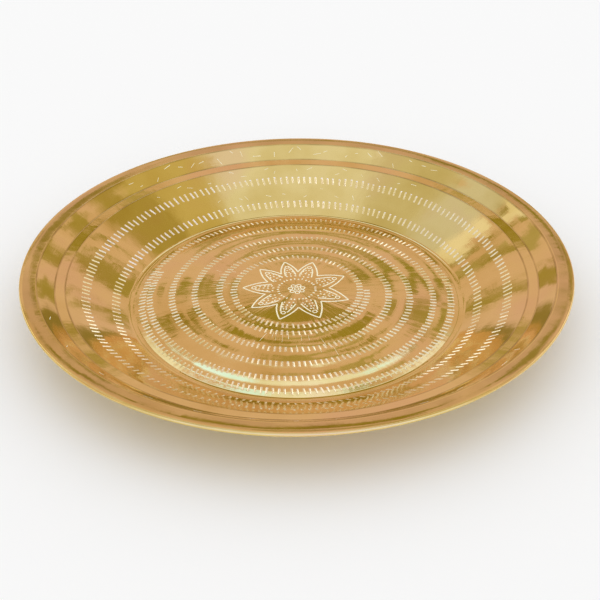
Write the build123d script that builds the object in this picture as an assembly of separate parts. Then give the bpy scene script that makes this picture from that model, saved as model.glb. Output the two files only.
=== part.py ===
from build123d import *
import os

# Round brass dish, spun from one disc of sheet, with a wired edge. Lengths are in millimetres and +Z is up.
# The origin is on the axis, in the plane of the standing ring that the dish rests on. Radii and heights
# describe the inside (upper) surface of the sheet.

OVERALL_RADIUS = 177.8
SHEET = 0.7

# Floor: a shallow dome, falling to a flat standing ring.
FLOOR_RISE = 6.4
RING_INNER_RADIUS = 107.4
RING_OUTER_RADIUS = 110.6

# Wall: two slopes with a narrow ledge between them, up to the lip.
LEDGE_INNER_RADIUS = 149.8
LEDGE_INNER_HEIGHT = 23.4
LEDGE_OUTER_RADIUS = 156.5
LEDGE_OUTER_HEIGHT = 24.6
LIP_RADIUS = 167.2
LIP_CROWN = 0.3

# Wired edge: the sheet is turned round a stiffening wire.
WIRE_RADIUS = 0.44
WIRE_CLEARANCE = 0.01
EDGE_HEIGHT = 31.5
EDGE_TURN = 262.0

# Radii of the bends between those surfaces, on the inside surface.
FLOOR_BEND = 4.0
WALL_BEND = 7.0
LEDGE_BEND = 1.6
LIP_BEND = 1.8

edge_radius = WIRE_RADIUS + WIRE_CLEARANCE + SHEET
edge_centre = Vector(OVERALL_RADIUS - edge_radius, EDGE_HEIGHT)
lip_height = EDGE_HEIGHT + edge_radius - LIP_CROWN

# The corners of the inside surface, from the axis outward, each with the radius of its bend. The sign is
# the side that the bend's centre is on: 1 above the sheet, -1 below it.
CORNERS = (
    (Vector(RING_INNER_RADIUS, SHEET), FLOOR_BEND, 1),
    (Vector(RING_OUTER_RADIUS, SHEET), WALL_BEND, 1),
    (Vector(LEDGE_INNER_RADIUS, LEDGE_INNER_HEIGHT), LEDGE_BEND, -1),
    (Vector(LEDGE_OUTER_RADIUS, LEDGE_OUTER_HEIGHT), LEDGE_BEND, 1),
    (Vector(LIP_RADIUS, lip_height), LIP_BEND, -1),
)


def crown_radius(run, rise):
    """Radius of the arc that is level at one end and a rise lower at the other, a run away."""
    return (run**2 + rise**2) / (2 * rise)


def crown_slope(run, rise):
    """Slope of that arc at its lower end."""
    radius = crown_radius(run, rise)
    return run / (radius - rise)


def crowned_arc(start, end):
    """Shallow arc from start to end that is level at the higher of the two."""
    run = end.X - start.X
    radius = crown_radius(run, abs(end.Y - start.Y))
    drop = radius - (radius**2 - (run / 2) ** 2) ** 0.5
    middle = Vector((start.X + end.X) / 2, max(start.Y, end.Y) - drop)
    return ThreePointArc(start, middle, end)


def downward(slope):
    """Unit normal, on the underside, of a surface that rises outward at a slope."""
    return Vector(slope, -1).normalized()


def surface_line(depth):
    """Half section of the surface that lies a depth below the inside one, and where its bends go."""
    points = [point for point, bend, side in CORNERS]
    slopes = [-crown_slope(RING_INNER_RADIUS, FLOOR_RISE)]
    slopes += [(outer.Y - inner.Y) / (outer.X - inner.X) for inner, outer in zip(points, points[1:])]
    slopes += [crown_slope(edge_centre.X - LIP_RADIUS, LIP_CROWN)]

    corners = []
    for point, inner_slope, outer_slope in zip(points, slopes, slopes[1:]):
        inner_normal = downward(inner_slope)
        outer_normal = downward(outer_slope)
        shift = (inner_normal + outer_normal) * (depth / (1 + inner_normal.dot(outer_normal)))
        corners.append(point + shift)

    centre = Vector(0, SHEET + FLOOR_RISE - depth)
    edge_top = edge_centre + Vector(0, edge_radius - depth)
    floor = crowned_arc(centre, corners[0])
    wall = Polyline(*corners)
    lip = crowned_arc(corners[-1], edge_top)
    turned_edge = CenterArc(edge_centre, edge_radius - depth, 90, -EDGE_TURN)
    line = Wire(floor.edges() + wall.edges() + lip.edges() + turned_edge.edges())
    for corner, (point, bend, side) in zip(corners, CORNERS):
        vertex = line.vertices().sort_by_distance(corner)[0]
        line = line.fillet_2d(bend + side * depth, [vertex])
    return line


def tray_body():
    """The whole dish in one sheet, with the edge turned under to hold the wire."""
    inside = surface_line(0)
    underside = surface_line(SHEET)
    axis_end = Line(inside @ 0, underside @ 0)
    turned_end = Line(inside @ 1, underside @ 1)
    outline = Wire(inside.edges() + underside.edges() + axis_end.edges() + turned_end.edges())
    return revolve(Plane.XZ * Face(outline), Axis.Z)


def rim_wire():
    """The stiffening wire inside the turned edge."""
    section = Pos(edge_centre.X, edge_centre.Y) * Circle(WIRE_RADIUS)
    return revolve(Plane.XZ * section, Axis.Z)


PIECES = {
    "tray_body": tray_body,
    "rim_wire": rim_wire,
}

os.makedirs("parts", exist_ok=True)
for name, make in PIECES.items():
    piece = make()
    piece.label = name
    export_step(piece, f"parts/{name}.step")
    print(name, "volume", round(piece.volume, 1), "mm3")
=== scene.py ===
"""A round brass tray, spun from one disc of sheet, with a wired edge and punched decoration."""

import logging
import math
import random
from bisect import bisect_right
from collections.abc import Callable
from dataclasses import dataclass, field
from enum import Enum

import bpy
from mathutils import Matrix, Vector


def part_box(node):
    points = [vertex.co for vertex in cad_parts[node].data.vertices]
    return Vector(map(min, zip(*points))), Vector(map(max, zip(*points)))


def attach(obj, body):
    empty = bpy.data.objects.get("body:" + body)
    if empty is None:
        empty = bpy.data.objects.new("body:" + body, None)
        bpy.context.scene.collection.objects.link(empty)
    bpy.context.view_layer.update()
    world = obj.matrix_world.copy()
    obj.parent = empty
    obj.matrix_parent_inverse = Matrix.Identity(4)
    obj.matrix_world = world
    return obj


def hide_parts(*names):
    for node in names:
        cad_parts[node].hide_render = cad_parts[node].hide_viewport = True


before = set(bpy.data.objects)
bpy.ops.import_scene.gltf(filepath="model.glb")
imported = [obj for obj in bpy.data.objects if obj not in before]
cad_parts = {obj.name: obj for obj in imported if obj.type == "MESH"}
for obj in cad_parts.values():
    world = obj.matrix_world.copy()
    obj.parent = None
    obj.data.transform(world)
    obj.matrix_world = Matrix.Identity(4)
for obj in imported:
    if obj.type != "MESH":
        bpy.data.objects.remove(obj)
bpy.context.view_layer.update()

MM = 0.001
BODY = "root"
CLOSE = 0.01  # points nearer together than this, in millimetres, are one
NOISE_MIDDLE = (0.3, 0.7)  # where most of a noise pattern's values lie

log = logging.getLogger("tray")

Colour = tuple[float, float, float]
Point = tuple[float, float]
Span = tuple[float, float]
Socket = bpy.types.NodeSocket
Term = Socket | float


# ---------------------------------------------------------------- work on the bench


def deselect_all() -> None:
    """Leave nothing selected and no object active."""
    if bpy.context.object and bpy.context.object.mode != "OBJECT":
        bpy.ops.object.mode_set(mode="OBJECT")
    for thing in bpy.context.selected_objects:
        thing.select_set(False)
    bpy.context.view_layer.objects.active = None


def pick(piece: bpy.types.Object) -> None:
    """Make one piece the only one selected, and the active one.

    Args:
        piece: The piece.
    """
    deselect_all()
    piece.select_set(True)
    bpy.context.view_layer.objects.active = piece


def place_in_mesh(piece: bpy.types.Object) -> None:
    """Move a piece's place, turn and scale into its mesh."""
    pick(piece)
    bpy.ops.object.transform_apply(location=True, rotation=True, scale=True)


def join(pieces: list[bpy.types.Object], name: str) -> bpy.types.Object:
    """Join pieces into one mesh object.

    Args:
        pieces: The objects to join.
        name: The name of the result.

    Returns:
        The joined object, with its place in its mesh.
    """
    deselect_all()
    for piece in pieces:
        piece.select_set(True)
    bpy.context.view_layer.objects.active = pieces[0]
    bpy.ops.object.join()
    joined = bpy.context.object
    joined.name = name
    place_in_mesh(joined)
    return joined


def copied(tool: bpy.types.Object, place: Matrix) -> bpy.types.Object:
    """Copy a tool's shape to a place, with a mesh of its own.

    Args:
        tool: The object to copy.
        place: Where the copy goes.

    Returns:
        The copy.
    """
    copy = tool.copy()
    copy.data = tool.data.copy()
    copy.matrix_world = place
    bpy.context.scene.collection.objects.link(copy)
    return copy


def select_vertices(piece: bpy.types.Object, chosen: Callable[[Vector], bool]) -> None:
    """Select the vertices that pass a test, and no others, of a piece in edit mode.

    Args:
        piece: The piece, which is in edit mode.
        chosen: A function of a vertex's place that says whether it is wanted.
    """
    bpy.ops.mesh.select_all(action="DESELECT")
    bpy.ops.object.mode_set(mode="OBJECT")
    for vertex in piece.data.vertices:
        vertex.select = chosen(vertex.co)
    bpy.ops.object.mode_set(mode="EDIT")


# ---------------------------------------------------------------- the sheet's section


@dataclass(frozen=True)
class Corner:
    """A corner of the sheet's section, in millimetres, and the radius that it is bent to."""

    radius: float
    height: float
    bend: float

    @property
    def place(self) -> Vector:
        """The corner as a vector in the plane of the section."""
        return Vector((self.radius, self.height))


@dataclass(frozen=True)
class SheetSection:
    """The inside surface of the tray in section, from the axis to the end of the turned edge.

    Sizes are in millimetres. Heights are above the plane that the tray stands on.
    """

    overall_radius: float
    thickness: float = 0.7
    floor_rise: float = 6.4
    roll_radius: float = 103.4
    roll_fall: float = 0.71
    roll_bend: float = 9.0
    ring_inner: float = 107.4
    ring_outer: float = 110.6
    ledge_inner: float = 149.8
    ledge_inner_height: float = 23.4
    ledge_outer: float = 156.5
    ledge_outer_height: float = 24.6
    lip_radius: float = 167.2
    lip_crown: float = 0.3
    edge_radius: float = 1.15
    edge_height: float = 31.5
    edge_turn: float = 262.0
    floor_bend: float = 4.0
    wall_bend: float = 7.0
    ledge_bend: float = 1.6
    lip_bend: float = 1.8
    coarse_step: float = 6.0
    bend_steps: int = 5
    edge_steps: int = 16

    @property
    def floor_arc(self) -> float:
        """Radius of the dome that the floor is part of, inside the roll at its edge."""
        rise = self.floor_rise - self.roll_fall
        return (self.roll_radius**2 + rise**2) / (2 * rise)

    @property
    def edge_centre(self) -> float:
        """Distance of the turned edge's centre line from the axis."""
        return self.overall_radius - self.edge_radius

    def dome(self, radius: float) -> float:
        """Height of the floor at a distance from the axis."""
        drop = self.floor_arc - math.sqrt(self.floor_arc**2 - radius**2)
        return self.thickness + self.floor_rise - drop

    def corners(self) -> list[Corner]:
        """The corners from the roll at the edge of the floor to the lip."""
        lip_height = self.edge_height + self.edge_radius - self.lip_crown
        return [
            Corner(self.roll_radius, self.dome(self.roll_radius), self.roll_bend),
            Corner(self.ring_inner, self.thickness, self.floor_bend),
            Corner(self.ring_outer, self.thickness, self.wall_bend),
            Corner(self.ledge_inner, self.ledge_inner_height, self.ledge_bend),
            Corner(self.ledge_outer, self.ledge_outer_height, self.ledge_bend),
            Corner(self.lip_radius, lip_height, self.lip_bend),
        ]

    def bent(self, corner: Corner, before: Vector, after: Vector) -> list[Vector]:
        """The points of the arc that rounds a corner.

        Args:
            corner: The corner.
            before: A point on the straight that leads to it.
            after: A point on the straight that leaves it.

        Returns:
            Points along the arc, both its ends among them.
        """
        arriving = (corner.place - before).normalized()
        leaving = (after - corner.place).normalized()
        turn = arriving.angle_signed(leaving)
        side = Vector((arriving.y, -arriving.x)) * math.copysign(corner.bend, turn)
        start = corner.place - arriving * (corner.bend * math.tan(abs(turn) / 2))
        centre = start + side
        return [
            centre + Matrix.Rotation(-turn * step / self.bend_steps, 2) @ -side
            for step in range(self.bend_steps + 1)
        ]

    def outline(self) -> list[Vector]:
        """The inside surface from near the axis to the end of the turned edge.

        Returns:
            Points along the section, in order, as radius and height.
        """
        rings = round(self.roll_radius / self.coarse_step)
        line = [
            Vector((radius, self.dome(radius)))
            for radius in (self.roll_radius * ring / rings for ring in range(1, rings))
        ]
        corners = self.corners()
        edge_top = Vector((self.edge_centre, self.edge_height + self.edge_radius))
        marks = [line[-1]] + [corner.place for corner in corners] + [edge_top]
        for corner, before, after in zip(corners, marks, marks[2:]):
            arc = self.bent(corner, before, after)
            gap = arc[0] - line[-1]
            steps = max(1, round(gap.length / self.coarse_step))
            line += [line[-1] + gap * step / steps for step in range(1, steps)]
            line += arc
        line.append((line[-1] + edge_top) / 2)
        centre = Vector((self.edge_centre, self.edge_height))
        for step in range(self.edge_steps + 1):
            angle = math.radians(90 - self.edge_turn * step / self.edge_steps)
            spoke = Vector((math.cos(angle), math.sin(angle)))
            line.append(centre + spoke * self.edge_radius)
        return line

    def height(self, radius: float) -> float:
        """Height of the inside surface at a distance from the axis."""
        return self.surface(radius)[0]

    def surface(self, radius: float) -> tuple[float, float]:
        """Height and slope of the inside surface at a distance from the axis.

        Args:
            radius: The distance from the axis.

        Returns:
            The height, and how much it rises for each millimetre outward.
        """
        if radius < self.roll_radius - self.coarse_step:
            return self.dome(radius), -radius / math.sqrt(self.floor_arc**2 - radius**2)
        line = self.outline()
        after = bisect_right([point.x for point in line[:-self.edge_steps]], radius)
        low, high = line[after - 1], line[after]
        slope = (high.y - low.y) / (high.x - low.x)
        return low.y + slope * (radius - low.x), slope


# ---------------------------------------------------------------- tools and decoration


@dataclass(frozen=True)
class PunchSet:
    """The working ends of the tools, as solids that sink into the sheet. Sizes are in millimetres.

    A keel is the length of a cut's bottom, as a share of its length.
    """

    width: float = 1.5
    keel: float = 0.62
    depth: float = 0.5
    stand: float = 0.3
    point_width: float = 1.0
    point_keel: float = 0.4
    scriber_width: float = 1.1
    scriber_keel: float = 0.9
    ring_radius: float = 1.45
    ring_line: float = 0.37
    ring_sides: int = 12
    liner: float = 0.47

    def wedge(self, name: str, length: float, width: float, keel: float) -> bpy.types.Object:
        """A wedge that leaves a V-shaped cut.

        Args:
            name: The name of the tool.
            length: Length of the cut at the surface.
            width: Width of the cut at the surface.
            keel: Length of the cut's bottom, as a share of its length.

        Returns:
            The wedge, with its bottom edge along Y and the surface at its origin.
        """
        height = self.depth + self.stand
        middle = (self.stand - self.depth) / 2
        bpy.ops.mesh.primitive_cube_add(size=1, location=(0, 0, middle * MM))
        tool = bpy.context.object
        tool.name = name
        tool.scale = (width * height / self.depth * MM, length * MM, height * MM)
        place_in_mesh(tool)
        bpy.ops.object.mode_set(mode="EDIT")
        select_vertices(tool, lambda place: place.z < 0)
        bpy.ops.transform.resize(value=(0, keel, 1))
        bpy.ops.mesh.remove_doubles(threshold=CLOSE * MM)
        bpy.ops.mesh.select_all(action="SELECT")
        bpy.ops.mesh.normals_make_consistent(inside=False)
        bpy.ops.object.mode_set(mode="OBJECT")
        return tool

    def ring(self) -> bpy.types.Object:
        """A small ring punch.

        Returns:
            The ring, with the surface through its middle.
        """
        bpy.ops.mesh.primitive_torus_add(
            major_segments=self.ring_sides,
            minor_segments=4,
            major_radius=self.ring_radius * MM,
            minor_radius=self.ring_line * MM,
        )
        tool = bpy.context.object
        tool.name = "ring_punch"
        return tool


class Tool(Enum):
    """The tools that mark the sheet."""

    CHISEL = "chisel"
    POINT = "point"
    SCRIBER = "scriber"
    RING = "ring"


@dataclass(frozen=True)
class Mark:
    """One blow of a tool, in millimetres and degrees, at a place seen from above."""

    tool: Tool
    angle: float
    radius: float
    lean: float = 0.0
    length: float = 1.0
    sink: float = 0.0


@dataclass(frozen=True)
class Grip:
    """How unevenly the chisel is held from one blow to the next, in millimetres and degrees."""

    lean: float = 2.5
    length: Span = (0.9, 1.08)
    sink: float = 0.06

    def blow(
        self, angle: float, radius: float, lean: float, length: float, hand: random.Random
    ) -> Mark:
        """One blow of the chisel.

        Args:
            angle: Its direction from the axis.
            radius: Its distance from the axis.
            lean: The lean that is meant.
            length: The length that is meant.
            hand: Where the unevenness comes from.

        Returns:
            The mark that it leaves.
        """
        return Mark(
            Tool.CHISEL,
            angle,
            radius,
            lean + hand.gauss(0, self.lean),
            length * hand.uniform(*self.length),
            hand.uniform(0, self.sink),
        )


@dataclass(frozen=True)
class PunchedRow:
    """A ring of chisel marks round the axis, spaced by eye."""

    radius: float
    count: int
    length: float
    lean: float = 8.0
    stray: float = 0.1
    wander: float = 0.2
    grip: Grip = Grip()

    def marks(self, hand: random.Random) -> list[Mark]:
        """The marks of the row.

        Args:
            hand: Where the unevenness of handwork comes from.

        Returns:
            One mark for each blow.
        """
        return [
            self.grip.blow(
                360 * (step + hand.uniform(-self.stray, self.stray)) / self.count,
                self.radius + hand.gauss(0, self.wander),
                self.lean,
                self.length,
                hand,
            )
            for step in range(self.count)
        ]


@dataclass(frozen=True)
class PunchedSpiral:
    """Chisel marks that leave the outer floor row and wind in to the inner one.

    The radii are given at quarter turns, anticlockwise from above, from the first turn that is whole.
    """

    first_turn: float = 0.45
    last_turn: float = 4.0
    spacing: float = 3.5
    stray: Span = (0.94, 1.06)
    length: float = 5.5
    lean: float = 8.0
    wander: float = 0.15
    grip: Grip = Grip()
    quarters: tuple[float, ...] = (
        99.0, 98.0, 91.2, 90.6,
        88.6, 83.2, 78.6, 75.0,
        70.6, 68.0, 65.2, 61.0,
        55.0, 51.6, 48.9, 46.6, 45.0,
    )

    def radius(self, turn: float) -> float:
        """Distance from the axis after a number of turns.

        Args:
            turn: The number of turns.

        Returns:
            The distance, between those given at the quarter turns before and after.
        """
        place = turn * 4 - 1
        before = min(max(int(place), 0), len(self.quarters) - 2)
        share = place - before
        low, high = self.quarters[before], self.quarters[before + 1]
        return low + (high - low) * share

    def marks(self, hand: random.Random) -> list[Mark]:
        """The marks along the spiral, an even spacing apart.

        Args:
            hand: Where the unevenness of handwork comes from.

        Returns:
            One mark for each blow.
        """
        marks = []
        turn = self.first_turn
        while turn < self.last_turn:
            radius = self.radius(turn)
            struck = radius + hand.gauss(0, self.wander)
            marks.append(self.grip.blow(360 * turn, struck, self.lean, self.length, hand))
            turn += self.spacing * hand.uniform(*self.stray) / (2 * math.pi * radius)
        return marks


@dataclass(frozen=True)
class Flower:
    """The nine-petalled flower in the middle of the floor, drawn by eye. Sizes are in millimetres.

    Each petal has an inner line, drawn in from its edge and stopping short of its tip, and rows of dots,
    each row given by its distance from the axis and the angle between its dots.
    """

    tips: tuple[float, ...] = (27, 72, 103, 134, 175, 215, 252, 294, 340)
    tip_radius: float = 36.0
    notch_radius: float = 21.5
    bulge: float = 1.2
    side_steps: int = 6
    inner_share: float = 0.62
    inner_draw: float = 8.0
    inner_points: int = 5
    ring_radius: float = 28.6
    rosette_radius: float = 4.2
    rosette_count: int = 7
    rosette_turn: float = 19.0
    collar_radius: float = 12.4
    collar_count: int = 30
    collar_stray: float = 0.15
    collar_wander: float = 0.2
    collar_length: float = 1.9
    dot_rows: tuple[Point, ...] = ((24.6, 5.0), (22.1, 6.5), (19.4, 8.0), (16.6, 10.0))
    dot_stray: float = 1.0
    dot_wander: float = 0.4
    dot_lean: float = 60.0
    dot_length: Span = (1.3, 1.9)

    @property
    def notches(self) -> list[float]:
        """The angles between each petal and the next, anticlockwise."""
        after = list(self.tips[1:]) + [self.tips[0] + 360]
        return [(here + there) / 2 for here, there in zip(self.tips, after)]

    def side(self, notch: float, tip: float, scale: float = 1.0) -> list[Point]:
        """One side of a petal, as points seen from above.

        Args:
            notch: The angle of the notch that the side starts from.
            tip: The angle of the petal's tip.
            scale: How far in from the edge the line lies, 1 on the edge.

        Returns:
            Points along the side, from the notch to the tip.
        """
        foot, middle = math.radians(notch), math.radians(tip)
        start = Vector((math.cos(foot), math.sin(foot))) * self.notch_radius
        end = Vector((math.cos(middle), math.sin(middle))) * self.tip_radius
        across = Vector((-math.sin(middle), math.cos(middle)))
        outward = math.copysign(self.bulge, start.dot(across))
        bend = (start + end) / 2 + across * outward * 2
        way = end.normalized()
        points = []
        for step in range(self.side_steps + 1):
            share = step / self.side_steps
            place = start * (1 - share) ** 2 + bend * 2 * share * (1 - share) + end * share**2
            along = place.dot(way) - (1 - scale) * self.inner_draw
            points.append(way * along + across * place.dot(across) * scale)
        return points

    def lines(self) -> tuple[list[list[Point]], list[list[Point]]]:
        """The drawn lines, in two lots that don't cross one another.

        Returns:
            The lines on the clockwise side of each petal, and those on the other side.
        """
        right, left = [], []
        notches = self.notches
        for number, tip in enumerate(self.tips):
            before, after = notches[number - 1], notches[number]
            if before > tip:
                before -= 360
            right.append(self.side(before, tip))
            right.append(self.side(before, tip, self.inner_share)[: self.inner_points])
            left.append(self.side(after, tip))
            left.append(self.side(after, tip, self.inner_share)[: self.inner_points])
        return right, left

    def marks(self, hand: random.Random) -> list[Mark]:
        """The small punch marks of the rosette, its collar and the petals.

        Args:
            hand: Where the unevenness of handwork comes from.

        Returns:
            One mark for each blow.
        """
        marks = [Mark(Tool.RING, 0, 0)]
        for step in range(self.rosette_count):
            angle = self.rosette_turn + 360 * step / self.rosette_count
            marks.append(Mark(Tool.RING, angle, self.rosette_radius))
        for step in range(self.collar_count):
            stray = hand.uniform(-self.collar_stray, self.collar_stray)
            angle = 360 * (step + stray) / self.collar_count
            radius = self.collar_radius + hand.gauss(0, self.collar_wander)
            marks.append(Mark(Tool.POINT, angle, radius, 0, self.collar_length))
        for tip in self.tips:
            marks.append(Mark(Tool.RING, tip, self.ring_radius))
            for row, (radius, spread) in enumerate(self.dot_rows):
                for step in range(-1, 2) if row else (-0.5, 0.5):
                    marks.append(
                        Mark(
                            Tool.POINT,
                            tip + step * spread + hand.uniform(-self.dot_stray, self.dot_stray),
                            radius + hand.gauss(0, self.dot_wander),
                            hand.uniform(-self.dot_lean, self.dot_lean),
                            hand.uniform(*self.dot_length),
                        )
                    )
        return marks


@dataclass(frozen=True)
class Scratches:
    """Stray scratches from use, over a part of the inside. Sizes are in millimetres and degrees."""

    start: float
    end: float
    inner: float
    outer: float
    count: int
    length: float
    lean: float = 90.0
    stray: float = 35.0
    sink: float = 0.37
    shift: Span = (0.1, 0.9)
    length_stray: Span = (0.5, 1.4)
    sink_stray: float = 0.08

    def marks(self, hand: random.Random) -> list[Mark]:
        """The scratches, spread over their part of the sheet.

        Args:
            hand: Where their unevenness comes from.

        Returns:
            One mark for each scratch.
        """
        step = (self.end - self.start) / self.count
        return [
            Mark(
                Tool.SCRIBER,
                self.start + step * (number + hand.uniform(*self.shift)),
                hand.uniform(self.inner, self.outer),
                self.lean + hand.gauss(0, self.stray),
                self.length * hand.uniform(*self.length_stray),
                self.sink + hand.uniform(0, self.sink_stray),
            )
            for number in range(self.count)
        ]


class Surface(Enum):
    """The finishes on the sheet, by their place in its list of materials."""

    POLISHED = 0
    CUT = 1
    # marks painted near white as glint, pale from every side
    GLINT_PAINTED = 2


@dataclass
class Decoration:
    """Everything that is punched, cut or drawn on the inside of the tray."""

    section: SheetSection
    tools: PunchSet = PunchSet()
    seed: int = 14
    rows: tuple[PunchedRow, ...] = (
        PunchedRow(137.6, 194, 7.2),
        PunchedRow(119.3, 171, 7.0),
        PunchedRow(102.7, 176, 5.9),
        PunchedRow(42.0, 77, 5.2),
    )
    spiral: PunchedSpiral = PunchedSpiral()
    flower: Flower = Flower()
    scratches: tuple[Scratches, ...] = (
        Scratches(48, 140, 158.6, 165.2, 24, 5),
        Scratches(50, 135, 142.6, 148.0, 16, 4),
        Scratches(60, 120, 125.0, 132.0, 10, 5),
        Scratches(243, 292, 50, 72, 12, 7, 4, 7),
        Scratches(150, 176, 47, 60, 8, 6, 4, 9),
        Scratches(200, 330, 159.0, 165.0, 12, 5),
    )

    def __post_init__(self) -> None:
        """Make the tools ready."""
        self.hand = random.Random(self.seed)
        tools = self.tools
        self.tips = {
            Tool.CHISEL: tools.wedge("chisel", 1.0, tools.width, tools.keel),
            Tool.POINT: tools.wedge("point", 1.0, tools.point_width, tools.point_keel),
            Tool.SCRIBER: tools.wedge("scriber", 1.0, tools.scriber_width, tools.scriber_keel),
            Tool.RING: tools.ring(),
        }

    def placed(self, mark: Mark) -> Matrix:
        """Where a tool stands for a mark: on the sheet, square to it, with its length up the slope.

        Args:
            mark: The mark.

        Returns:
            The tool's place, turn and scale.
        """
        height, slope = self.section.surface(mark.radius)
        angle = math.radians(mark.angle)
        x, y = mark.radius * math.cos(angle), mark.radius * math.sin(angle)
        foot = Vector((x, y, height + mark.sink))
        turn = Matrix.Rotation(angle - math.pi / 2, 4, "Z")
        tilt = Matrix.Rotation(math.atan(slope), 4, "X")
        lean = Matrix.Rotation(math.radians(mark.lean), 4, "Z")
        length = Matrix.Scale(mark.length, 4, Vector((0, 1, 0)))
        return Matrix.Translation(foot * MM) @ turn @ tilt @ lean @ length

    def blows(self, marks: list[Mark], name: str) -> bpy.types.Object:
        """All the blows of a lot of marks as one cutting solid.

        Args:
            marks: The marks.
            name: The name of the solid.

        Returns:
            The joined solid.
        """
        return join([copied(self.tips[mark.tool], self.placed(mark)) for mark in marks], name)

    def drawn(self, lines: list[list[Point]], name: str) -> bpy.types.Object:
        """Drawn lines as one cutting solid, a bar with its corner down along each line.

        Args:
            lines: The lines, as points seen from above.
            name: The name of the solid.

        Returns:
            The solid.
        """
        curve = bpy.data.curves.new(name, "CURVE")
        curve.dimensions = "3D"
        curve.bevel_depth = self.tools.liner * MM
        curve.bevel_resolution = 0
        curve.use_fill_caps = True
        for line in lines:
            spline = curve.splines.new("POLY")
            spline.points.add(len(line) - 1)
            for point, (x, y) in zip(spline.points, line):
                height = self.section.height(math.hypot(x, y))
                point.co = (x * MM, y * MM, height * MM, 1)
        tool = bpy.data.objects.new(name, curve)
        bpy.context.scene.collection.objects.link(tool)
        pick(tool)
        bpy.ops.object.convert(target="MESH")
        bpy.ops.object.mode_set(mode="EDIT")
        bpy.ops.mesh.select_all(action="SELECT")
        bpy.ops.mesh.remove_doubles(threshold=CLOSE * MM)
        bpy.ops.mesh.normals_make_consistent(inside=False)
        bpy.ops.object.mode_set(mode="OBJECT")
        return bpy.context.object

    def solids(self) -> list[tuple[bpy.types.Object, Surface]]:
        """The cutting solids, one for each lot of marks, and the finish that each leaves.

        Returns:
            Each solid with its finish, in the order that they are cut.
        """
        row_marks = [mark for row in self.rows for mark in row.marks(self.hand)]
        stray_marks = [mark for lot in self.scratches for mark in lot.marks(self.hand)]
        right_lines, left_lines = self.flower.lines()
        made = [
            (self.blows(row_marks, "row_blows"), Surface.CUT),
            (self.blows(self.spiral.marks(self.hand), "spiral_blows"), Surface.CUT),
            (self.blows(stray_marks, "stray_scratches"), Surface.GLINT_PAINTED),
            (self.blows(self.flower.marks(self.hand), "flower_blows"), Surface.GLINT_PAINTED),
            (self.drawn(right_lines, "petal_lines_right"), Surface.GLINT_PAINTED),
            (self.drawn(left_lines, "petal_lines_left"), Surface.GLINT_PAINTED),
        ]
        for tool in self.tips.values():
            bpy.data.objects.remove(tool)
        return made


# ---------------------------------------------------------------- the tray


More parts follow.
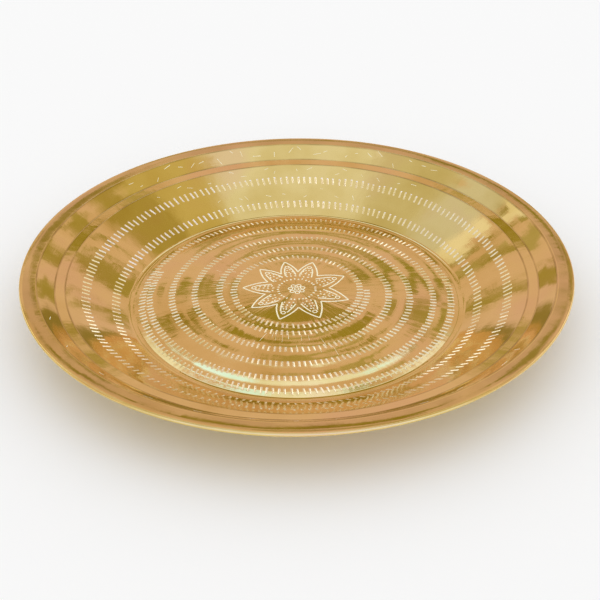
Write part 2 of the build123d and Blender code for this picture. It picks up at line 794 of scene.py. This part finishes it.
@dataclass
class TrayBody:
    """The tray itself: one sheet, dished, with its edge turned under and its inside decorated."""

    section: SheetSection
    around: int = 288
    floor_around: int = 144
    centre_around: int = 48
    floor_limit: float = 97.5
    centre_limit: float = 37.5
    crease: float = 22.0

    def sides(self, radius: float) -> int:
        """How many sides a ring of the mesh has.

        Args:
            radius: Its distance from the axis.

        Returns:
            The number of sides.
        """
        if radius < self.centre_limit:
            return self.centre_around
        return self.floor_around if radius < self.floor_limit else self.around

    def blank(self) -> bpy.types.Object:
        """The plain dish, raised ring by ring from the middle of the floor.

        Returns:
            The dish, with the thickness of its sheet.
        """
        line = self.section.outline()
        deselect_all()
        bpy.ops.mesh.primitive_circle_add(
            vertices=self.sides(line[0].x),
            radius=line[0].x * MM,
            fill_type="TRIFAN",
            location=(0, 0, line[0].y * MM),
        )
        dish = bpy.context.object
        dish.name = "brass_tray"
        place_in_mesh(dish)
        bpy.ops.object.mode_set(mode="EDIT")
        bpy.ops.mesh.select_mode(type="VERT")
        select_vertices(dish, lambda place: place.xy.length < MM)
        bpy.ops.transform.translate(value=(0, 0, (self.section.dome(0) - line[0].y) * MM))
        select_vertices(dish, lambda place: place.xy.length > MM)
        for here, there in zip(line, line[1:]):
            self.add_ring(dish, here, there)
        bpy.ops.object.mode_set(mode="OBJECT")
        self.face_up(dish)
        sheet = dish.modifiers.new("sheet", "SOLIDIFY")
        sheet.thickness = self.section.thickness * MM
        sheet.offset = -1
        sheet.use_even_offset = True
        bpy.ops.object.modifier_apply(modifier=sheet.name)
        return dish

    def add_ring(self, dish: bpy.types.Object, here: Vector, there: Vector) -> None:
        """Carry the dish on from one ring to the next.

        Args:
            dish: The dish, in edit mode, with the ring that it ends in selected.
            here: Radius and height of that ring.
            there: Radius and height of the next.
        """
        if self.sides(here.x) == self.sides(there.x):
            bpy.ops.mesh.extrude_region_move(
                TRANSFORM_OT_translate={"value": (0, 0, (there.y - here.y) * MM)}
            )
            bpy.ops.transform.resize(value=(there.x / here.x, there.x / here.x, 1))
            return
        bpy.ops.mesh.primitive_circle_add(
            vertices=self.sides(there.x), radius=there.x * MM, location=(0, 0, there.y * MM)
        )
        gap = (here.x - CLOSE) * MM
        select_vertices(dish, lambda place: place.xy.length > gap)
        bpy.ops.mesh.bridge_edge_loops()
        edge = (there.x - CLOSE) * MM
        select_vertices(dish, lambda place: place.xy.length > edge)

    def face_up(self, dish: bpy.types.Object) -> None:
        """Turn the sheet's faces to the inside of the dish.

        Args:
            dish: The dish, before it has a thickness.
        """
        pick(dish)
        bpy.ops.object.mode_set(mode="EDIT")
        bpy.ops.mesh.select_all(action="SELECT")
        bpy.ops.mesh.normals_make_consistent(inside=False)
        bpy.ops.object.mode_set(mode="OBJECT")
        if dish.data.polygons[0].normal.z < 0:
            bpy.ops.object.mode_set(mode="EDIT")
            bpy.ops.mesh.flip_normals()
            bpy.ops.object.mode_set(mode="OBJECT")

    def decorate(
        self, dish: bpy.types.Object, solids: list[tuple[bpy.types.Object, Surface]]
    ) -> None:
        """Sink the cutting solids into the dish, and take them away.

        Args:
            dish: The dish.
            solids: The cutting solids, and the finish that each leaves.
        """
        for solid, surface in solids:
            for material in dish.data.materials:
                solid.data.materials.append(material)
            for face in solid.data.polygons:
                face.material_index = surface.value
            pick(dish)
            cut = dish.modifiers.new(solid.name, "BOOLEAN")
            cut.operation = "DIFFERENCE"
            cut.solver = "MANIFOLD"
            cut.object = solid
            bpy.ops.object.modifier_apply(modifier=cut.name)
            bpy.data.objects.remove(solid)

    def build(self, finishes: dict[Surface, bpy.types.Material]) -> bpy.types.Object:
        """Make the tray.

        Args:
            finishes: The material of each finish on the sheet.

        Returns:
            The finished piece.
        """
        dish = self.blank()
        for surface in Surface:
            dish.data.materials.append(finishes[surface])
        self.decorate(dish, Decoration(self.section).solids())
        pick(dish)
        bpy.ops.object.shade_smooth_by_angle(angle=math.radians(self.crease))
        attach(dish, BODY)
        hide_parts("tray_body")
        return dish


# ---------------------------------------------------------------- finishes


@dataclass
class Shader:
    """The node tree of a material or of the world, with short ways to add to it."""

    owner: bpy.types.ID

    def __post_init__(self) -> None:
        """Start from the first nodes of the tree."""
        self.owner.use_nodes = True
        self.tree = self.owner.node_tree
        self.metal = self.tree.nodes.get("Principled BSDF")

    def node(self, kind: str, **settings: str | bool) -> bpy.types.Node:
        """Add a node and set its properties.

        Args:
            kind: The node's type.
            settings: Its properties, by name.

        Returns:
            The node.
        """
        node = self.tree.nodes.new(kind)
        for name, value in settings.items():
            setattr(node, name, value)
        return node

    def link(self, source: Socket, target: Socket) -> None:
        """Join two sockets."""
        self.tree.links.new(source, target)

    def math(self, operation: str, first: Term, second: Term | None = None) -> Socket:
        """A sum worked out by a node.

        Args:
            operation: What the node does.
            first: A socket or a number.
            second: A socket or a number, where the sum has two terms.

        Returns:
            The result's socket.
        """
        node = self.node("ShaderNodeMath", operation=operation)
        for slot, value in zip(node.inputs, (first, second)):
            if isinstance(value, Socket):
                self.link(value, slot)
            elif value is not None:
                slot.default_value = value
        return node.outputs[0]

    def coordinate(self, kind: str) -> Socket:
        """A vector of one kind that a pattern can be read at, such as Object."""
        return self.node("ShaderNodeTexCoord").outputs[kind]

    def parts(self, vector: Socket) -> tuple[Socket, ...]:
        """Take a vector apart.

        Args:
            vector: The vector.

        Returns:
            Its x, y and z.
        """
        parts = self.node("ShaderNodeSeparateXYZ")
        self.link(vector, parts.inputs[0])
        return tuple(parts.outputs)

    def vector(self, *parts: Socket) -> Socket:
        """Put a vector together.

        Args:
            parts: Its x and y, and its z where it isn't 0.

        Returns:
            The vector.
        """
        vector = self.node("ShaderNodeCombineXYZ")
        for part, slot in zip(parts, vector.inputs):
            self.link(part, slot)
        return vector.outputs[0]

    def place(self) -> tuple[Socket, ...]:
        """The object's own x, y and z."""
        return self.parts(self.coordinate("Object"))

    def radius(self) -> Socket:
        """Work out the distance from the axis.

        Returns:
            The distance's socket, in millimetres.
        """
        x, y, _ = self.place()
        square = self.math("ADD", self.math("MULTIPLY", x, x), self.math("MULTIPLY", y, y))
        return self.math("DIVIDE", self.math("SQRT", square), MM)

    def window(self, value: Socket, middle: float, half: float, soft: float) -> Socket:
        """A mask that is 1 near a middle value and falls smoothly to 0 on both sides.

        Args:
            value: What is tested.
            middle: The middle value.
            half: How far from it the mask stays 1.
            soft: How much further it takes to fall to 0.

        Returns:
            The mask's socket.
        """
        away = self.math("ABSOLUTE", self.math("SUBTRACT", value, middle))
        fall = self.node("ShaderNodeMapRange", interpolation_type="SMOOTHSTEP")
        fall.inputs["From Min"].default_value = half
        fall.inputs["From Max"].default_value = half + soft
        fall.inputs["To Min"].default_value = 1
        fall.inputs["To Max"].default_value = 0
        self.link(away, fall.inputs["Value"])
        return fall.outputs[0]

    def mixed(self, mask: Socket, under: Socket, over: Colour) -> Socket:
        """A colour laid over another where a mask says.

        Args:
            mask: Where the upper colour shows.
            under: The lower colour.
            over: The upper colour.

        Returns:
            The colour's socket.
        """
        mix = self.node("ShaderNodeMix", data_type="RGBA")
        self.link(mask, mix.inputs["Factor"])
        self.link(under, mix.inputs["A"])
        mix.inputs["B"].default_value = (*over, 1)
        return mix.outputs["Result"]

    def turned(self, along: float, around: float) -> Socket:
        """A place for patterns that follow the turning: distance from the axis and direction from it.

        Args:
            along: How fast the pattern changes from the axis outward, in steps a metre.
            around: How fast it changes round the axis, in steps a radian.

        Returns:
            The vector's socket.
        """
        x, y, height = self.place()
        flat = self.vector(x, y)
        length = self.node("ShaderNodeVectorMath", operation="LENGTH")
        self.link(flat, length.inputs[0])
        unit = self.node("ShaderNodeVectorMath", operation="NORMALIZE")
        self.link(flat, unit.inputs[0])
        wide = self.node("ShaderNodeVectorMath", operation="SCALE")
        self.link(unit.outputs[0], wide.inputs[0])
        wide.inputs["Scale"].default_value = around
        right, back, _ = self.parts(wide.outputs[0])
        outward = self.math("MULTIPLY", length.outputs["Value"], along)
        upward = self.math("MULTIPLY", height, along)
        return self.vector(right, back, self.math("ADD", outward, upward))

    def noise(self, place: Socket | None, scale: float, detail: float) -> Socket:
        """A noise pattern.

        Args:
            place: Where it is read, or None for the object's own places.
            scale: Its scale.
            detail: Its number of finer layers.

        Returns:
            The pattern's socket.
        """
        noise = self.node("ShaderNodeTexNoise")
        noise.inputs["Scale"].default_value = scale
        noise.inputs["Detail"].default_value = detail
        if place is None:
            place = self.coordinate("Object")
        self.link(place, noise.inputs["Vector"])
        return noise.outputs["Fac"]

    def ramp(self, value: Socket, *stops: tuple[float, Colour]) -> Socket:
        """A colour ramp.

        Args:
            value: What is looked up.
            stops: Each stop's place and colour.

        Returns:
            The colour's socket.
        """
        ramp = self.node("ShaderNodeValToRGB")
        marks = ramp.color_ramp.elements
        while len(marks) < len(stops):
            marks.new(0.5)
        for mark, (place, colour) in zip(marks, stops):
            mark.position = place
            mark.color = (*colour, 1)
        self.link(value, ramp.inputs[0])
        return ramp.outputs[0]

    def range(self, value: Socket, low: float, high: float) -> Socket:
        """Spread a pattern's middle over a range.

        Args:
            value: The pattern.
            low: What its low parts become.
            high: What its high parts become.

        Returns:
            The result's socket.
        """
        spread = self.node("ShaderNodeMapRange", clamp=True)
        spread.inputs["From Min"].default_value = NOISE_MIDDLE[0]
        spread.inputs["From Max"].default_value = NOISE_MIDDLE[1]
        spread.inputs["To Min"].default_value = low
        spread.inputs["To Max"].default_value = high
        self.link(value, spread.inputs["Value"])
        return spread.outputs[0]

    def bump(self, value: Socket, distance: float, under: Socket | None = None) -> Socket:
        """Relief from a pattern.

        Args:
            value: The pattern.
            distance: Its height, in millimetres.
            under: The relief that it lies on, if there is one.

        Returns:
            The normal's socket.
        """
        bump = self.node("ShaderNodeBump")
        bump.inputs["Strength"].default_value = 1
        bump.inputs["Distance"].default_value = distance * MM
        self.link(value, bump.inputs["Height"])
        if under is not None:
            self.link(under, bump.inputs["Normal"])
        return bump.outputs[0]


@dataclass(frozen=True)
class BrassFinish:
    """Polished brass, with the marks of turning and polishing, a little tarnish on the lip, and painted
    shade in the creases of its bends.

    A run is how fast a pattern changes: outward in steps a metre, and round the axis in steps a radian.
    A cover is how much of a layer shows, where its pattern is low and where it is high.
    """

    name: str = "polished_brass"
    bright: Colour = (0.87, 0.68, 0.26)
    deep: Colour = (0.76, 0.56, 0.17)
    copper: Colour = (0.86, 0.62, 0.28)
    # painted shade: the dark colour laid along the creases of the bends
    crease_shade_colour: Colour = (0.40, 0.27, 0.08)
    handled: Colour = (0.62, 0.45, 0.18)
    patch_scale: float = 18.0
    patch_stops: tuple[float, float, float] = (0.32, 0.52, 0.72)
    creases: tuple[float, ...] = (149.9, 156.4, 167.0)
    crease_flat: float = 0.2
    crease_width: float = 0.7
    crease_run: Span = (40.0, 6.0)
    crease_cover: Span = (0.05, 0.75)
    lip: Span = (171.8, 3.2)
    lip_soft: float = 1.0
    lip_scale: float = 26.0
    lip_cover: Span = (0.2, 0.9)
    dull: float = 0.1
    clean: float = 0.03
    streak_run: Span = (30.0, 18.0)
    grain: float = 0.35
    wave: float = 0.34
    wave_run: Span = (28.0, 2.2)
    ripple: float = 0.06
    ripple_run: Span = (70.0, 16.0)
    chatter: float = 0.004
    chatter_run: Span = (25.0, 130.0)
    polish: float = 0.008
    polish_run: Span = (1500.0, 3.0)
    trough: float = 0.14
    trough_pitch: float = 14.7
    decorated: Span = (36.0, 104.0)

    def material(self) -> bpy.types.Material:
        """Make the material.

        Returns:
            The material.
        """
        shader = Shader(bpy.data.materials.new(self.name))
        metal = shader.metal
        patches = shader.noise(None, self.patch_scale, 4)
        colours = (self.deep, self.bright, self.copper)
        colour = shader.ramp(patches, *zip(self.patch_stops, colours))
        worn = shader.mixed(self.lip_mask(shader), colour, self.handled)
        # painted shade: darker brass laid over the creases of the sheet's bends
        crease_shaded = shader.mixed(self.crease_shade_mask(shader), worn, self.crease_shade_colour)
        shader.link(crease_shaded, metal.inputs["Base Color"])
        metal.inputs["Metallic"].default_value = 1
        streaks = shader.noise(shader.turned(*self.streak_run), 1, 3)
        shader.link(shader.range(streaks, self.clean, self.dull), metal.inputs["Roughness"])
        metal.inputs["Anisotropic"].default_value = self.grain
        tangent = shader.node("ShaderNodeTangent", direction_type="RADIAL", axis="Z")
        shader.link(tangent.outputs[0], metal.inputs["Tangent"])
        relief = None
        for depth, run in (
            (self.wave, self.wave_run),
            (self.ripple, self.ripple_run),
            (self.chatter, self.chatter_run),
        ):
            relief = shader.bump(shader.noise(shader.turned(*run), 1, 2), depth, relief)
        relief = shader.bump(self.troughs(shader), self.trough, relief)
        lines = shader.noise(shader.turned(*self.polish_run), 1, 3)
        relief = shader.bump(lines, self.polish, relief)
        shader.link(relief, metal.inputs["Normal"])
        return shader.owner

    def crease_shade_mask(self, shader: Shader) -> Socket:
        """Where painted shade darkens the creases of the sheet, broken up by noise.

        Args:
            shader: The material's shader.

        Returns:
            The mask's socket.
        """
        radius = shader.radius()
        mask = None
        for crease in self.creases:
            here = shader.window(radius, crease, self.crease_flat, self.crease_width)
            mask = here if mask is None else shader.math("MAXIMUM", mask, here)
        pattern = shader.noise(shader.turned(*self.crease_run), 1, 3)
        return shader.math("MULTIPLY", mask, shader.range(pattern, *self.crease_cover))

    def lip_mask(self, shader: Shader) -> Socket:
        """Where handling has darkened the lip.

        Args:
            shader: The material's shader.

        Returns:
            The mask's socket.
        """
        middle, half = self.lip
        lip = shader.window(shader.radius(), middle, half, self.lip_soft)
        pattern = shader.noise(None, self.lip_scale, 3)
        return shader.math("MULTIPLY", lip, shader.range(pattern, *self.lip_cover))

    def troughs(self, shader: Shader) -> Socket:
        """The shallow trough that the blows leave along the spiral, over the decorated floor.

        Args:
            shader: The material's shader.

        Returns:
            The relief's socket.
        """
        x, y, _ = shader.place()
        radius = shader.radius()
        turn = shader.math("ARCTAN2", y, x)
        phase = shader.math("MULTIPLY", radius, 2 * math.pi / self.trough_pitch)
        wave = shader.math("COSINE", shader.math("ADD", phase, turn))
        inner, outer = self.decorated
        half = (outer - inner - self.trough_pitch) / 2
        floor = shader.window(radius, (inner + outer) / 2, half, self.trough_pitch / 2)
        return shader.math("MULTIPLY", wave, shader.math("MULTIPLY", floor, 0.5))


@dataclass(frozen=True)
class CutFinish:
    """The bright brass inside a mark, paler than the polished brass: partly its own fresh-cut tone,
    partly painted glint, with a share of it made a pale non-metal that looks lit from every side.
    """

    name: str = "cut_brass"
    # paler colours: partly fresh-cut brass, partly painted glint
    bright: Colour = (0.97, 0.88, 0.62)
    shade: Colour = (0.86, 0.72, 0.40)
    rough: float = 0.2
    painted_glint: float = 0.22
    grain_scale: float = 900.0
    grain_depth: float = 0.02
    stops: Span = (0.35, 0.6)

    def material(self) -> bpy.types.Material:
        """Make the material.

        Returns:
            The material.
        """
        shader = Shader(bpy.data.materials.new(self.name))
        metal = shader.metal
        grain = shader.noise(None, self.grain_scale, 2)
        colour = shader.ramp(grain, *zip(self.stops, (self.shade, self.bright)))
        shader.link(colour, metal.inputs["Base Color"])
        # painted glint: the non-metal share keeps the mark pale from every side
        metal.inputs["Metallic"].default_value = 1 - self.painted_glint
        metal.inputs["Roughness"].default_value = self.rough
        shader.link(shader.bump(grain, self.grain_depth), metal.inputs["Normal"])
        return shader.owner


@dataclass(frozen=True)
class WireFinish:
    """Drawn steel wire, a little dull."""

    name: str = "drawn_steel"
    light: Colour = (0.58, 0.56, 0.53)
    dark: Colour = (0.34, 0.32, 0.3)
    spot_scale: float = 300.0
    stops: Span = (0.35, 0.65)
    rough: Span = (0.3, 0.5)

    def material(self) -> bpy.types.Material:
        """Make the material.

        Returns:
            The material.
        """
        shader = Shader(bpy.data.materials.new(self.name))
        metal = shader.metal
        spots = shader.noise(None, self.spot_scale, 5)
        colour = shader.ramp(spots, *zip(self.stops, (self.dark, self.light)))
        shader.link(colour, metal.inputs["Base Color"])
        metal.inputs["Metallic"].default_value = 1
        shader.link(shader.range(spots, *self.rough), metal.inputs["Roughness"])
        return shader.owner


@dataclass
class EdgeWire:
    """The stiffening wire inside the turned edge."""

    node: str = "rim_wire"
    finish: WireFinish = field(default_factory=WireFinish)

    def dress(self) -> bpy.types.Object:
        """Give the wire its finish.

        Returns:
            The wire.
        """
        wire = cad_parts[self.node]
        wire.data.materials.clear()
        wire.data.materials.append(self.finish.material())
        return wire


# ---------------------------------------------------------------- the studio


@dataclass(frozen=True)
class Card:
    """A soft card that the brass reflects, by its direction from the tray, in degrees.

    A card with a slant rises as it goes round to the right, and one with a bow drops away to both
    sides of straight ahead.
    """

    azimuth: float
    elevation: float
    half_width: float
    half_height: float
    soft: float
    colour: Colour
    slant: float = 0.0
    bow: float = 0.0

    def mask(
        self, shader: Shader, azimuth: Socket, elevation: Socket
    ) -> Socket:
        """Where the card is seen.

        Args:
            shader: The world's shader.
            azimuth: The direction looked in.
            elevation: Its height above the horizon.

        Returns:
            The mask's socket.
        """
        across = shader.math("SUBTRACT", azimuth, self.azimuth)
        if self.slant:
            rise = shader.math("MULTIPLY", across, self.slant)
            elevation = shader.math("SUBTRACT", elevation, rise)
        if self.bow:
            square = shader.math("MULTIPLY", azimuth, azimuth)
            elevation = shader.math("ADD", elevation, shader.math("MULTIPLY", square, self.bow))
        away = shader.math("ABSOLUTE", across)
        short_way = shader.math("MINIMUM", away, shader.math("SUBTRACT", 360.0, away))
        return shader.math(
            "MULTIPLY",
            shader.window(short_way, 0, self.half_width, self.soft),
            shader.window(elevation, self.elevation, self.half_height, self.soft),
        )


@dataclass(frozen=True)
class Studio:
    """The floor, the soft light and the camera.

    Behind the cards the room is patches of olive and peach. Patches, ragged edges and cards are in
    degrees, and the camera's distance and the floor are in metres.
    """

    distance: float = 0.748
    camera_height: float = 33.12
    roll: float = 0.55
    lens: float = 67.5
    shift: Point = (0.0055, -0.0185)
    target_height: float = 7.1
    pale: Colour = (1.0, 1.0, 1.0)
    peach: Colour = (0.74, 0.54, 0.50)
    olive: Colour = (0.38, 0.31, 0.085)
    patch_width: float = 11.0
    patch_height: float = 4.0
    patch_stops: Span = (0.38, 0.45)
    uneven: float = 2.0
    uneven_size: Span = (4.0, 2.0)
    uneven_across: float = 2.5
    floor_size: float = 6.0
    floor_colour: Colour = (0.95, 0.95, 0.95)
    floor_rough: float = 0.9
    cards: tuple[Card, ...] = (
        Card(0, 84, 180, 18, 14, (0.82, 0.83, 0.92)),
        Card(0, 63, 42, 2.5, 3, (0.32, 0.25, 0.07)),
        Card(0, 1, 30, 4, 4, (0.30, 0.23, 0.07)),
        Card(180, 30, 60, 18, 12, (0.95, 1.05, 1.8)),
        Card(60, 28.3, 15, 4.5, 5, (1.55, 1.6, 1.75), slant=0.42),
        Card(-60, 28.3, 15, 4.5, 5, (1.55, 1.6, 1.75), slant=-0.42),
        Card(105, 48, 18, 8, 8, (0.9, 0.85, 0.7)),
        Card(-105, 48, 18, 8, 8, (0.9, 0.85, 0.7)),
        Card(66, 61, 26, 7, 7, (0.62, 0.52, 0.27)),
        Card(47, 51, 9, 5, 4, (0.44, 0.35, 0.12)),
        Card(-66, 63, 24, 6, 8, (0.66, 0.63, 0.55)),
        Card(-50, 49, 9, 5, 6, (0.70, 0.70, 0.78)),
        Card(28.5, 27, 2.6, 5, 1.5, (0.40, 0.32, 0.10)),
        Card(19, 13.5, 3, 2.4, 1.5, (0.40, 0.32, 0.10)),
        Card(43, 37, 3, 2.2, 1.5, (0.42, 0.34, 0.11)),
        Card(-34, 29.5, 2.4, 4.5, 1.5, (0.48, 0.40, 0.20)),
        Card(-22, 16.5, 3, 2.4, 1.5, (0.40, 0.32, 0.10)),
        Card(-42, 41, 3.6, 3.2, 2, (0.92, 0.88, 0.92)),
        Card(0, 32, 15, 17, 3, (0.74, 0.54, 0.50)),
        Card(0.5, 38.2, 8, 1.9, 0.8, (0.35, 0.28, 0.05)),
        Card(10, 29, 4.5, 1.1, 0.8, (0.34, 0.29, 0.06)),
        Card(-1, 23, 8, 0.6, 0.8, (0.42, 0.34, 0.12)),
        Card(3, 26.5, 6, 0.4, 0.8, (0.42, 0.34, 0.12)),
        Card(-13, 36.5, 2.5, 1.0, 0.8, (0.36, 0.29, 0.07)),
        Card(-10, 31.3, 3, 0.8, 0.8, (0.38, 0.31, 0.09)),
        Card(14, 35.5, 2.5, 1.5, 1.0, (0.40, 0.33, 0.11)),
        Card(5, 43.5, 8, 0.6, 1.0, (0.46, 0.38, 0.16)),
        Card(0, 55.2, 24, 3, 2.2, (1.0, 1.08, 1.45), bow=0.022),
        Card(-14, 56.4, 5, 2.8, 2, (0.9, 1.4, 2.7), bow=0.025),
        Card(14.5, 56.6, 3.2, 2.2, 2, (0.9, 1.3, 2.3), bow=0.025),
    )

    def world(self) -> None:
        """Surround the tray with soft cards, and show and shed plain pale light beside them."""
        world = bpy.data.worlds.new("studio")
        bpy.context.scene.world = world
        shader = Shader(world)
        nodes = shader.tree.nodes
        light = nodes["Background"]
        plain = shader.node("ShaderNodeBackground")
        plain.inputs["Color"].default_value = (*self.pale, 1)
        choice = shader.node("ShaderNodeMixShader")
        shader.link(shader.node("ShaderNodeLightPath").outputs["Is Glossy Ray"], choice.inputs[0])
        shader.link(plain.outputs[0], choice.inputs[1])
        shader.link(light.outputs[0], choice.inputs[2])
        shader.link(choice.outputs[0], nodes["World Output"].inputs[0])
        x, y, z = self.direction(shader)
        azimuth = shader.math("DEGREES", shader.math("ARCTAN2", x, y))
        elevation = shader.math("DEGREES", shader.math("ARCSINE", z))
        ragged = shader.noise(self.spread(shader, azimuth, elevation, *self.uneven_size), 1, 3)
        shift = shader.math("MULTIPLY", shader.math("SUBTRACT", ragged, 0.5), self.uneven * 2)
        sideways = shader.math("MULTIPLY", shift, self.uneven_across)
        azimuth = shader.math("ADD", azimuth, sideways)
        elevation = shader.math("ADD", elevation, shift)
        place = self.spread(shader, azimuth, elevation, self.patch_width, self.patch_height)
        patches = shader.noise(place, 1, 2)
        colour = shader.ramp(patches, *zip(self.patch_stops, (self.olive, self.peach)))
        for card in self.cards:
            colour = shader.mixed(card.mask(shader, azimuth, elevation), colour, card.colour)
        shader.link(colour, light.inputs["Color"])

    def direction(self, shader: Shader) -> tuple[Socket, ...]:
        """The x, y and z of the direction in which the world is looked at."""
        return shader.parts(shader.coordinate("Generated"))

    def spread(
        self, shader: Shader, azimuth: Socket, elevation: Socket, width: float, height: float
    ) -> Socket:
        """A place for patterns to be read at.

        Args:
            shader: The world's shader.
            azimuth: The direction looked in.
            elevation: Its height above the horizon.
            width: Width of the pattern's patches, in degrees.
            height: Their height, in degrees.

        Returns:
            The vector's socket.
        """
        across = shader.math("DIVIDE", azimuth, width)
        return shader.vector(across, shader.math("DIVIDE", elevation, height))

    def floor(self) -> bpy.types.Object:
        """The plain pale floor that the tray stands on.

        Returns:
            The floor.
        """
        deselect_all()
        bpy.ops.mesh.primitive_plane_add(size=self.floor_size, location=(0, 0, 0))
        floor = bpy.context.object
        floor.name = "studio_floor"
        shader = Shader(bpy.data.materials.new("pale_floor"))
        shader.metal.inputs["Base Color"].default_value = (*self.floor_colour, 1)
        shader.metal.inputs["Roughness"].default_value = self.floor_rough
        shader.metal.inputs["Specular IOR Level"].default_value = 0
        floor.data.materials.append(shader.owner)
        return floor

    def camera(self) -> bpy.types.Object:
        """The camera, looking down at the middle of the tray.

        Returns:
            The camera.
        """
        target = Vector((0, 0, self.target_height * MM))
        tilt = math.radians(self.camera_height)
        back = Vector((0, -math.cos(tilt), math.sin(tilt)))
        data = bpy.data.cameras.new("camera")
        data.lens = self.lens
        data.shift_x, data.shift_y = self.shift
        camera = bpy.data.objects.new("camera", data)
        bpy.context.scene.collection.objects.link(camera)
        camera.location = target + back * self.distance
        turn = (-back).to_track_quat("-Z", "Y").to_matrix()
        roll = Matrix.Rotation(math.radians(-self.roll), 3, "Z")
        camera.rotation_euler = (turn @ roll).to_euler()
        bpy.context.scene.camera = camera
        return camera

    def build(self) -> None:
        """Set the studio up."""
        bpy.context.scene.view_settings.view_transform = "Standard"
        self.world()
        self.floor()
        self.camera()


def report(piece: bpy.types.Object) -> None:
    """Say what a piece is and how large its mesh is."""
    log.info("%s: %d faces", piece.name, len(piece.data.polygons))


def main() -> None:
    """Build the tray and the studio round it."""
    logging.basicConfig(level=logging.INFO, format="%(name)s: %(message)s")
    low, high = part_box("tray_body")
    section = SheetSection(overall_radius=(high.x - low.x) / 2 / MM)
    # painted glint: nearly white and almost without metal, so these marks look lit from every side
    glinting = CutFinish(
        "glint_painted_line",
        bright=(1.0, 0.96, 0.78),
        shade=(0.96, 0.88, 0.60),
        rough=0.4,
        painted_glint=0.9,
    )
    finishes = {
        Surface.POLISHED: BrassFinish().material(),
        Surface.CUT: CutFinish().material(),
        Surface.GLINT_PAINTED: glinting.material(),
    }
    report(TrayBody(section).build(finishes))
    report(EdgeWire().dress())
    Studio().build()


if __name__ == "__main__":
    main()
